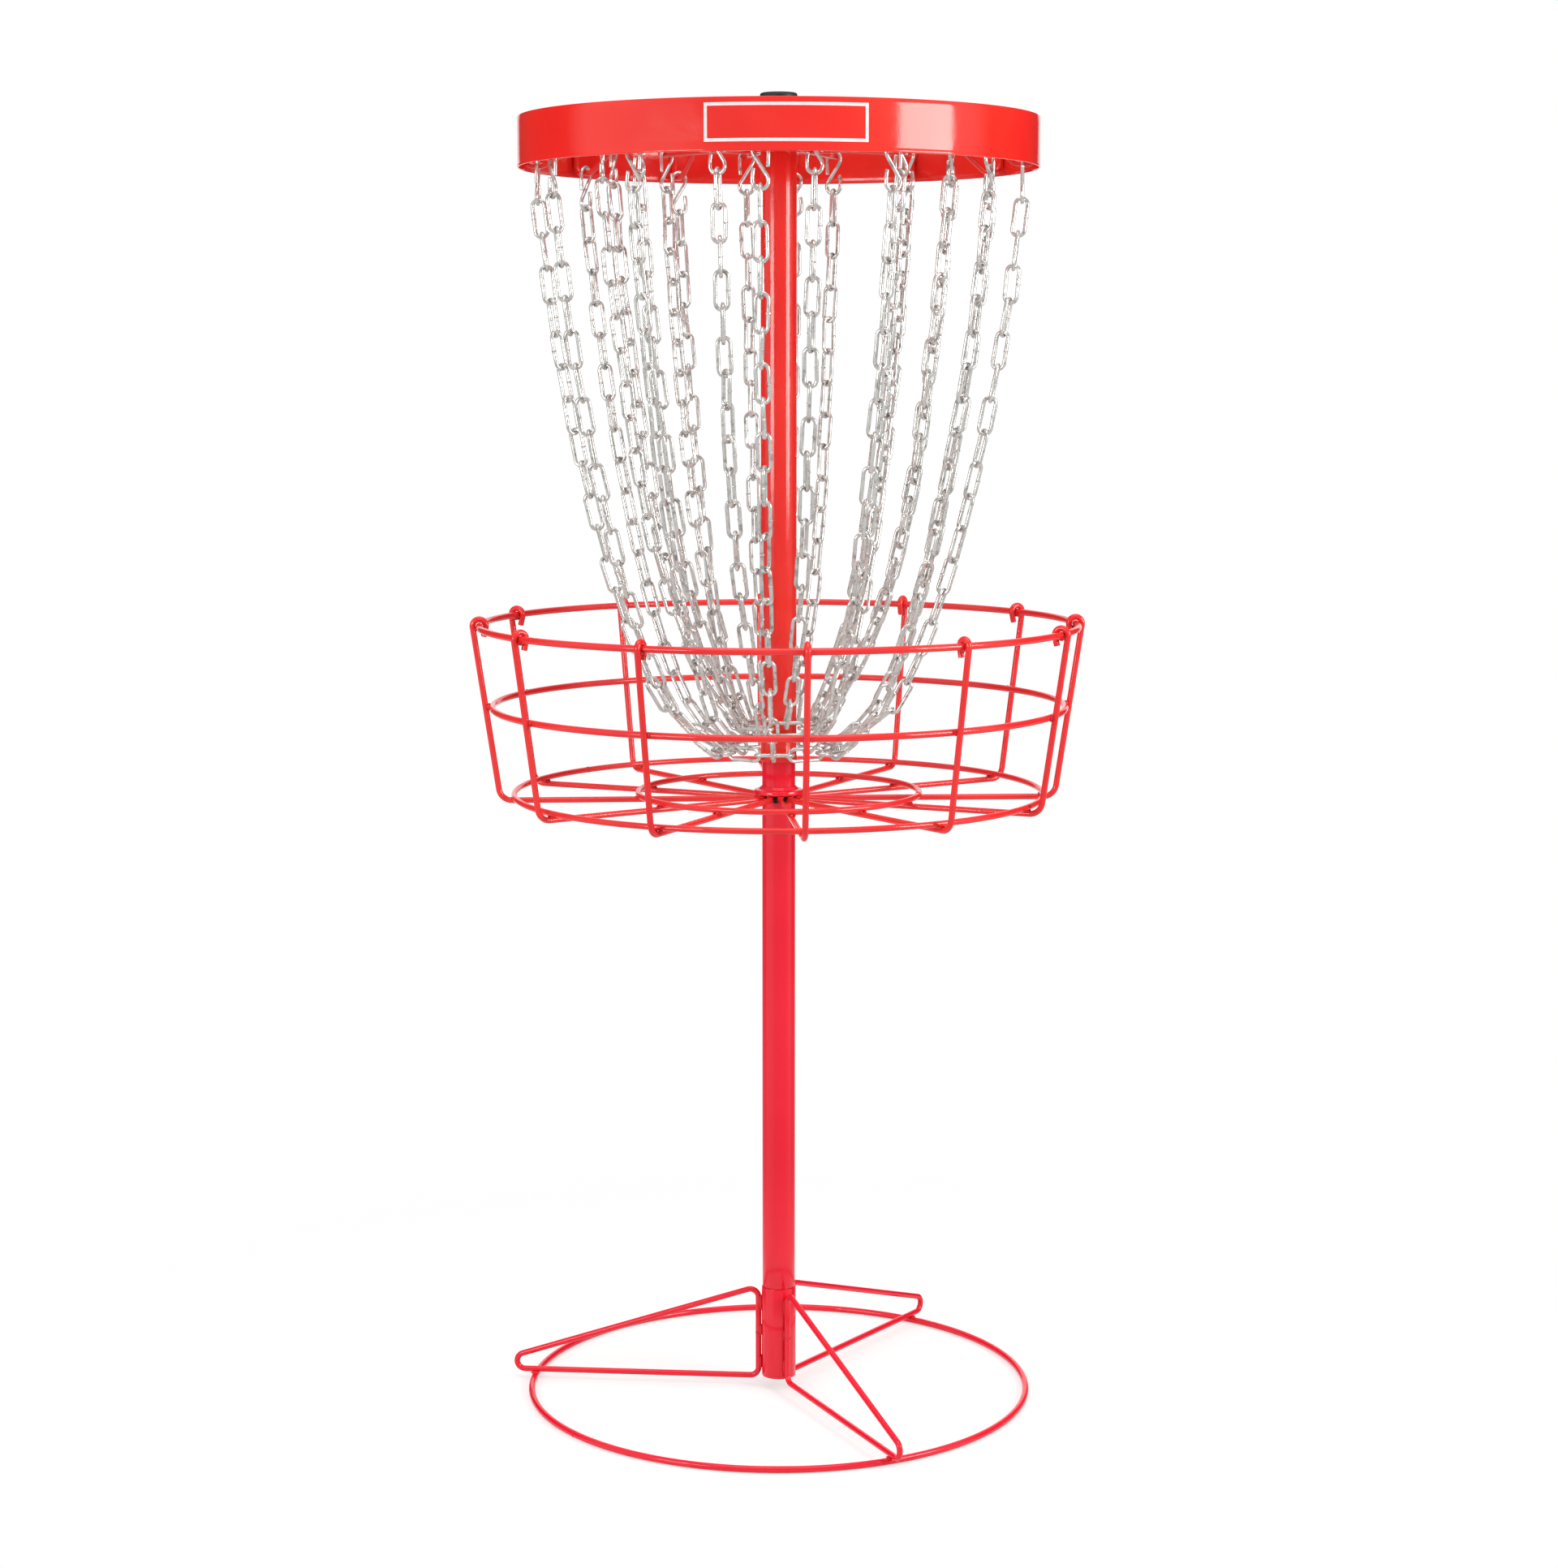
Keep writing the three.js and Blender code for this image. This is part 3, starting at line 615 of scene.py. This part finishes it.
s = Soup()
s.tube(circle(TIE_RING_R, OUTER_ARM_Z, 144), 2.9, 14, closed=True)
for i in range(12):
    az = OUTER_AZ0 + 30 * i
    s.tube(long_arm(az), ARM_WIRE / 2, 14, end="flat", up=at(az + 90, 1, 0))
    for k, u in enumerate((-2.9, 2.9)):
        s.bead(at(az, TIE_RING_R, OUTER_ARM_Z + 0.4, u), at(az + 90, 1, 0), 3.4, 7.6, 6.6, seed=300 + i * 4 + k)
        s.bead(at(az, arm_up_r + 2.6, 1345, u), (0, 0, 1), 13, 3.0, 2.6, seed=400 + i * 4 + k)
    s.bead(at(az, 24.6, OUTER_ARM_Z), at(az, 1, 0), 5.0, 8.4, 7.6, seed=500 + i)
s.make("outer_arms_wire", REDS, "head", ["support_outer_frame"])

s = Soup()
s.tube(circle(INNER_TIE_RING_R, INNER_HANG[1], 120), 2.9, 14, closed=True)
for i in range(12):
    az = INNER_AZ0 + 30 * i
    s.tube(short_arm(az), ARM_WIRE / 2, 14, end="flat", up=at(az + 90, 1, 0))
    for k, u in enumerate((-2.9, 2.9)):
        s.bead(at(az, INNER_TIE_RING_R, INNER_HANG[1] + 0.4, u), at(az + 90, 1, 0), 3.4, 7.6, 6.6, seed=600 + i * 4 + k)
    s.bead(at(az, 24.6, INNER_HANG[1]), at(az, 1, 0), 5.0, 8.4, 7.6, seed=700 + i)
s.make("inner_arms_wire", REDS, "head", ["support_inner_frame"])

# the band: rolled sheet with a rolled lower hem and a lap seam at the back
s = Soup()
ri, ro = BAND_R - BAND_T, BAND_R
prof = [(ri, BAND_Z0 + 0.8), (ri + 0.3, BAND_Z0 + 0.15), (ri + 0.9, BAND_Z0)]
prof += [(ro + 0.1, BAND_Z0 + 0.1), (ro + 0.4, BAND_Z0 + 0.6), (ro + 0.5, BAND_Z0 + 1.5), (ro + 0.4, BAND_Z0 + 2.5), (ro + 0.15, BAND_Z0 + 3.4), (ro, BAND_Z0 + 4.4)]
prof += [(ro, BAND_Z0 + 4.6 + (BAND_Z1 - 0.6 - BAND_Z0 - 4.6) * k / 8) for k in range(1, 9)]
prof += [(ro - 0.2, BAND_Z1 - 0.15), (ro - 0.6, BAND_Z1), (ri + 0.5, BAND_Z1), (ri + 0.1, BAND_Z1 - 0.2), (ri, BAND_Z1 - 0.7)]
prof += [(ri, BAND_Z1 - 0.7 - (BAND_Z1 - 0.7 - BAND_Z0 - 0.8) * k / 8) for k in range(1, 8)]
s.lathe(prof, 256)
# lap seam: the sheet's outer end, a closed strip that lies on the band
lap = [(172 + k * 0.55, 1.15 * min(1.0, 1.6 * min(k, 8 - k))) for k in range(9)]
lap_verts, lap_faces = [], []
for a, lift in lap:
    for r in (ro - 0.25, ro + 0.02 + lift):
        for z in (BAND_Z0 + 5.2, BAND_Z1 - 0.8):
            lap_verts.append(at(a, r, z))
for j in range(len(lap) - 1):
    i, k = 4 * j, 4 * j + 4
    lap_faces += [(i + 2, k + 2, k + 3, i + 3), (i, i + 1, k + 1, k), (i, k, k + 2, i + 2), (i + 1, i + 3, k + 3, k + 1)]
e = 4 * (len(lap) - 1)
lap_faces += [(0, 2, 3, 1), (e, e + 1, e + 3, e + 2)]
s.add(lap_verts, lap_faces, 0)
s.make("band_sheet", REDS, "head", ["chain_support_band"])

# a plain pale frame printed on the front of the band, with nothing inside it
s = Soup()


def patch(a0, a1, z0, z1, r=BAND_R + 0.12, n=24):
    vs, fs = [], []
    for j in range(n + 1):
        a = a0 + (a1 - a0) * j / n
        vs += [at(a, r, z0), at(a, r, z1), at(a, r - 0.1, z1), at(a, r - 0.1, z0)]
    for j in range(n):
        b, c = 4 * j, 4 * j + 4
        fs += [(b, c, c + 1, b + 1), (b + 1, c + 1, c + 2, b + 2), (b + 2, c + 2, c + 3, b + 3), (b + 3, c + 3, c, b)]
    fs += [(0, 1, 2, 3), (4 * n + 3, 4 * n + 2, 4 * n + 1, 4 * n)]
    s.add(vs, fs, 0)


FA0, FA1, FZ0, FZ1, FT = -15.3, 18.5, 1326.4, 1363.3, 3.1
ft_deg = math.degrees(FT / BAND_R)
patch(FA0, FA1, FZ1 - FT, FZ1)
patch(FA0, FA1, FZ0, FZ0 + FT)
patch(FA0, FA0 + ft_deg, FZ0 + FT, FZ1 - FT, n=4)
patch(FA1 - ft_deg, FA1, FZ0 + FT, FZ1 - FT, n=4)
frame_print = s.make("band_plain_frame_print", [PRINT], "head")


# ---------------------------------------------------------------- chains
def link(soup, centre, axis, normal, length=LINK_LEN, width=LINK_WIDTH, wire=LINK_WIRE, weld=True, sides=10):
    """One welded long link: axis along its length, normal across its plane."""
    r = wire / 2
    end_r = (width - wire) / 2
    half = length / 2 - r - end_r
    a = unit(axis)
    nrm = unit(normal - (normal @ a) * a)
    b = np.cross(nrm, a)
    pts = []
    for k in range(9):
        w = math.radians(-90 + 180 * k / 8)
        pts.append(centre + a * (half + end_r * math.cos(w)) + b * (end_r * math.sin(w)))
    pts.append(centre + a * half * 0.33 + b * end_r * 0.985)
    pts.append(centre - a * half * 0.33 + b * end_r * 0.985)
    for k in range(9):
        w = math.radians(90 + 180 * k / 8)
        pts.append(centre + a * (-half + end_r * math.cos(w)) + b * (end_r * math.sin(w)))
    pts.append(centre - a * half * 0.33 - b * end_r * 0.985)
    pts.append(centre + a * half * 0.33 - b * end_r * 0.985)
    rad = [r] * len(pts)
    soup.tube(pts, rad, sides, closed=True, up=nrm)
    if weld:  # the butt weld in one leg
        soup.bead(centre + b * end_r * 0.985, a, 3.4, wire * 1.24, wire * 1.22, mat=1, seed=int(abs(centre[0] * 7 + centre[2])) % 997)


def chain_curve(az, hook_eye, line, loop_pt):
    pts = [hook_eye] + [at(az, r, z) for r, z in line[1:]] + [loop_pt]
    return spline(pts)


def along(curve, s):
    seg = np.linalg.norm(curve[1:] - curve[:-1], axis=1)
    acc = np.concatenate([[0], np.cumsum(seg)])
    s = min(max(s, 0), acc[-1])
    i = min(np.searchsorted(acc, s, side="right") - 1, len(seg) - 1)
    t = (s - acc[i]) / seg[i]
    return curve[i] + (curve[i + 1] - curve[i]) * t


def length_of(curve):
    return float(np.linalg.norm(curve[1:] - curve[:-1], axis=1).sum())


def hook_path(az, r, arm_z):
    """S-hook in the plane that stands across the arm."""
    top = arm_z + (ARM_WIRE + HOOK_WIRE) / 2 + GAP
    zt, zb = top - HOOK_HALF, top - HOOK_DROP + HOOK_HALF
    h = HOOK_HALF
    p = lambda u, z: at(az, r, z, -u)
    pts = [p(-h + 0.6, zt - 17), p(-h, zt - 6)]
    for k in range(1, 16):
        w = math.radians(180 - 180 * k / 16)
        pts.append(p(h * math.cos(w), zt + h * math.sin(w)))
    pts.append(p(h, zt - 1.5))
    pts.append(p(h - 0.9, zt - 4.5))
    pts.append(p(-h + 0.9, zb + 4.5))
    pts.append(p(-h, zb + 1.5))
    for k in range(1, 16):
        w = math.radians(180 + 180 * k / 16)
        pts.append(p(h * math.cos(w), zb + h * math.sin(w)))
    pts.append(p(h, zb + 5))
    pts.append(p(h - 1.2, zb + 12.5))
    return pts, p(0, zb - h)


chain_materials = [ZINC, zinc("zinc_link_weld", (0.62, 0.61, 0.59), (0.36, 0.35, 0.34), (0.28, 0.5))]


def loop_links(loop, n, az0):
    """Each link of a loop: its azimuth, middle, long direction and normal. Every other one lies flat."""
    r, z = loop
    flat = 0 if n == 12 else 1  # the link that carries two chains lies flat, so both clear it as they swing
    out = []
    for k in range(n):
        a = az0 + 360.0 / n * k
        axis = at(a + 90, 1, 0)
        nrm = np.array([0.0, 0.0, 1.0]) if k % 2 == flat else at(a, 1, 0)
        w = math.radians(6 if k % 3 else -5)
        nrm = unit(nrm * math.cos(w) + np.cross(axis, nrm) * math.sin(w))
        out.append((a, at(a, r * math.cos(math.pi / n), z), axis, nrm))
    return out


def loop_wire(az, loop, n, az0):
    """The point of the loop's wire that a chain at this azimuth is closed round, and the wire's direction."""
    a, c, axis, nrm = min(loop_links(loop, n, az0), key=lambda l: abs((az - l[0] + 180) % 360 - 180))
    off = math.radians((az - a + 180) % 360 - 180)
    side = np.cross(nrm, axis)
    if side @ (at(a, 1, 0) + np.array([0.0, 0.0, 1.0])) < 0:
        side = -side
    return c + side * (LINK_WIDTH - LINK_WIRE) / 2 + axis * (loop[0] * math.cos(math.pi / n) * math.tan(off)), axis


def make_chain(kind, i, az, hang, line, loop, n_loop, az_loop):
    name = "chain_%s_%02d" % (kind, i + 1)
    path, eye = hook_path(az, *hang)
    s = Soup()
    s.tube(resampled(path, 6.0), HOOK_WIRE / 2, 12, end="dome", up=at(az, 1, 0))
    s.make("s_hook_%s_%02d" % (kind, i + 1), [ZINC], name)
    # the chain's own curve, from the hook's eye to the loop
    rng = np.random.default_rng(50 + i + (100 if kind == "inner" else 0))
    end, wire_dir = loop_wire(az, loop, n_loop, az_loop)
    last = at(az, *line[-1])
    end = end + unit(end - last) * 3.3
    curve = chain_curve(az, eye + np.array([0, 0, 2.0]), line, end)
    total = length_of(curve)
    n = int(math.ceil(total / (LINK_LEN - 2 * LINK_WIRE) - 0.05))
    # the number of links is whole, so a little slack is left in each
    pitch = total / n
    s = Soup()
    lat, rad = at(az + 90, 1, 0), at(az, 1, 0)
    walk = np.clip(rng.uniform(-32, 32) + np.cumsum(rng.normal(0, 9, n)), -52, 52)
    # an even chain takes a quarter turn over its length, so both end links stand across their wires
    quarter = 0.0 if n % 2 else 90.0 * (1 if i % 2 else -1)
    for k in range(n):
        p0, p1 = along(curve, k * pitch), along(curve, (k + 1) * pitch)
        axis = p0 - p1
        c = (p0 + p1) / 2
        free = 0.0 if k in (0, n - 1) else 1.0
        # slack links lie a little off the curve
        c = c + (lat * rng.normal(0, 0.22) + rad * rng.normal(0, 0.2)) * free
        axis = axis + (lat * rng.normal(0, 0.7) + rad * rng.normal(0, 0.5)) * free
        # the first link stands across the hook's wire, the last across the loop's, and the rest alternate
        near_end = max(0.0, 1 - (n - 1 - k) / 4)
        across = unit(lat * (1 - near_end) + wire_dir * near_end)
        a = unit(axis)
        nrm = unit(across - (across @ a) * a)
        w = math.radians(walk[k] * min(1.0, k / 4, (n - 1 - k) / 4) + quarter * k / (n - 1) + (90 if k % 2 else 0))
        nrm = nrm * math.cos(w) + np.cross(a, nrm) * math.sin(w)
        link(s, c, axis, nrm)
    return s.make(name + "_links", chain_materials, name, [name])


for i in range(12):
    make_chain("outer", i, OUTER_AZ0 + 30 * i, OUTER_HANG, OUTER_CHAIN, OUTER_LOOP, 12, OUTER_AZ0)
for i in range(12):
    make_chain("inner", i, INNER_AZ0 + 30 * i, INNER_HANG, INNER_CHAIN, INNER_LOOP, 8, INNER_AZ0)

for kind, (r, z), n, az0 in (("outer", OUTER_LOOP, 12, OUTER_AZ0), ("inner", INNER_LOOP, 8, INNER_AZ0)):
    s = Soup()
    for _, c, axis, nrm in loop_links((r, z), n, az0):
        link(s, c, axis, nrm)
    s.make(kind + "_loop_links", chain_materials, "head", [kind + "_chain_loop"])

# ---------------------------------------------------------------- carried-over CAD nodes
for node, mat in (("base_spigot", STEEL), ("pole_stop", STEEL)):
    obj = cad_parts[node]
    if not obj.material_slots:
        obj.data.materials.append(mat)
    for sl in obj.material_slots:
        sl.material = mat

# ---------------------------------------------------------------- studio
def floor_material():
    mat, nt, bsdf, co = nodes_of("pale_floor")
    tone = ramp(nt, noise(nt, co, 1.4, 3, 0.5), [(0.3, (0.94, 0.94, 0.94)), (0.7, (0.97, 0.97, 0.97))])
    nt.links.new(tone, bsdf.inputs["Base Color"])
    bsdf.inputs["Roughness"].default_value = 0.95
    bsdf.inputs["Specular IOR Level"].default_value = 0.05
    bump(nt, bsdf, [(noise(nt, co, 60, 3, 0.5), 0.03, 0.001)])
    # the floor runs out softly into the white of the room
    out = next(n for n in nt.nodes if n.type == "OUTPUT_MATERIAL")
    away = nt.nodes.new("ShaderNodeVectorMath")
    away.operation = "LENGTH"
    nt.links.new(co, away.inputs[0])
    fade = nt.nodes.new("ShaderNodeMapRange")
    fade.interpolation_type = "SMOOTHSTEP"
    fade.inputs["From Min"].default_value = 0.30
    fade.inputs["From Max"].default_value = 1.0
    fade.inputs["To Min"].default_value = 0.5
    nt.links.new(away.outputs["Value"], fade.inputs["Value"])
    clear = nt.nodes.new("ShaderNodeBsdfTransparent")
    mx = nt.nodes.new("ShaderNodeMixShader")
    nt.links.new(fade.outputs["Result"], mx.inputs[0])
    nt.links.new(bsdf.outputs["BSDF"], mx.inputs[1])
    nt.links.new(clear.outputs["BSDF"], mx.inputs[2])
    nt.links.new(mx.outputs["Shader"], out.inputs["Surface"])
    return mat


bpy.ops.mesh.primitive_plane_add(size=4, location=(0, 0, -0.0005))
floor = bpy.context.active_object
floor.name = "studio_floor"
floor.data.materials.append(floor_material())

WORLD, CEILING, GROUND, FILL = 1.0, 0.60, 0.62, 0.775
world = bpy.data.worlds.new("studio")
bpy.context.scene.world = world
world.use_nodes = True
wn = world.node_tree
wn.nodes.clear()
w_out = wn.nodes.new("ShaderNodeOutputWorld")
lp = wn.nodes.new("ShaderNodeLightPath")
bg_cam = wn.nodes.new("ShaderNodeBackground")
bg_cam.inputs["Color"].default_value = (1, 1, 1, 1)
bg_cam.inputs["Strength"].default_value = 1.0
bg_light = wn.nodes.new("ShaderNodeBackground")
bg_light.inputs["Strength"].default_value = WORLD
# the room as the gloss sees it: white walls to the front and back with dark gaps between them
tc = wn.nodes.new("ShaderNodeTexCoord")
sep = wn.nodes.new("ShaderNodeSeparateXYZ")
wn.links.new(tc.outputs["Generated"], sep.inputs["Vector"])


def wmath(op, a, b=None):
    m = wn.nodes.new("ShaderNodeMath")
    m.operation = op
    for sock, val in ((m.inputs[0], a), (m.inputs[1], b)):
        if val is None:
            continue
        if isinstance(val, (int, float)):
            sock.default_value = val
        else:
            wn.links.new(val, sock)
    return m.outputs[0]


turn = wmath("ARCTAN2", sep.outputs["X"], wmath("MULTIPLY", sep.outputs["Y"], -1.0))
side = wmath("ADD", wmath("DIVIDE", turn, 2 * math.pi), 0.5)
walls = wn.nodes.new("ShaderNodeValToRGB")
el = walls.color_ramp.elements
STOPS = [(-180, 1.0), (-163, 1.0), (-159, 0.04), (-104, 0.04), (-92, 0.85), (-60, 1.0), (-44, 0.98), (-32, 0.55), (0, 0.48), (50, 0.52), (56, 0.65), (80, 1.0), (92, 0.85), (104, 0.04), (159, 0.04), (163, 1.0), (180, 1.0)]
el[0].position, el[0].color = 0.0, (STOPS[0][1],) * 3 + (1,)
el[1].position, el[1].color = 1.0, (STOPS[-1][1],) * 3 + (1,)
for deg, v in STOPS[1:-1]:
    e = el.new(deg / 360.0 + 0.5)
    e.color = (v, v, v, 1)
wn.links.new(side, walls.inputs["Fac"])


def wmix(fac, a, b):
    m = wn.nodes.new("ShaderNodeMix")
    m.data_type = "RGBA"
    wn.links.new(fac, m.inputs["Factor"])
    for sock, val in ((m.inputs["A"], a), (m.inputs["B"], b)):
        if isinstance(val, tuple):
            sock.default_value = (*val, 1)
        else:
            wn.links.new(val, sock)
    return m.outputs["Result"]


def wspan(v, a, b):
    m = wn.nodes.new("ShaderNodeMapRange")
    m.interpolation_type = "SMOOTHSTEP"
    m.inputs["From Min"].default_value = a
    m.inputs["From Max"].default_value = b
    wn.links.new(v, m.inputs["Value"])
    return m.outputs["Result"]


room = wmix(wspan(sep.outputs["Z"], 0.45, 0.75), walls.outputs["Color"], (CEILING, CEILING, CEILING))
room = wmix(wspan(sep.outputs["Z"], -0.05, -0.45), room, (GROUND, GROUND, GROUND))
# soft fill for the matt part of the shading, a little stronger on the left and at the back, where no softbox stands
fill = wmath("SUBTRACT", wmath("ADD", wmath("MULTIPLY", sep.outputs["Y"], 0.26), FILL), wmath("MULTIPLY", sep.outputs["X"], 0.26))
bounce = wn.nodes.new("ShaderNodeCombineColor")
for i in range(3):
    wn.links.new(fill, bounce.inputs[i])
room = wmix(lp.outputs["Is Diffuse Ray"], room, bounce.outputs["Color"])
wn.links.new(room, bg_light.inputs["Color"])
mx = wn.nodes.new("ShaderNodeMixShader")
wn.links.new(lp.outputs["Is Camera Ray"], mx.inputs["Fac"])
wn.links.new(bg_light.outputs["Background"], mx.inputs[1])
wn.links.new(bg_cam.outputs["Background"], mx.inputs[2])
wn.links.new(mx.outputs["Shader"], w_out.inputs["Surface"])


def softbox(name, az, dist, z, w, h, power, look_z=1.0, colour=(1, 1, 1)):
    data = bpy.data.lights.new(name, "AREA")
    data.shape = "RECTANGLE"
    data.size, data.size_y = w, h
    data.energy = power
    data.color = colour
    obj = bpy.data.objects.new(name, data)
    bpy.context.scene.collection.objects.link(obj)
    p = at(az, dist, z)
    obj.location = p.tolist()
    from mathutils import Vector

    d = Vector((0, 0, look_z)) - Vector(p.tolist())
    obj.rotation_euler = d.to_track_quat("-Z", "Y").to_euler()
    return obj


softbox("box_right", 62.6, 2.17, 1.365, 1.01, 0.97, 35, 1.365, (1.0, 0.96, 0.91))
softbox("box_left", -42.6, 2.20, 1.134, 0.95, 0.49, 14, 1.134, (1.0, 0.98, 0.95))
softbox("box_top", 0, 0.6, 3.6, 2.2, 2.2, 34, 0.7)

# ---------------------------------------------------------------- camera
cam_data = bpy.data.cameras.new("camera")
cam = bpy.data.objects.new("camera", cam_data)
bpy.context.scene.collection.objects.link(cam)
cam_data.sensor_fit = "HORIZONTAL"
cam_data.sensor_width = 36.0
cam_data.lens = 3761.0 * 36.0 / 1920.0
cam.location = (0.0003, -3.2472, 1.1110)
cam.rotation_euler = (math.radians(90 - 7.754), 0, 0)
cam_data.clip_end = 100
bpy.context.scene.camera = cam
bpy.context.scene.view_settings.view_transform = "Standard"
bpy.context.scene.view_settings.look = "None"
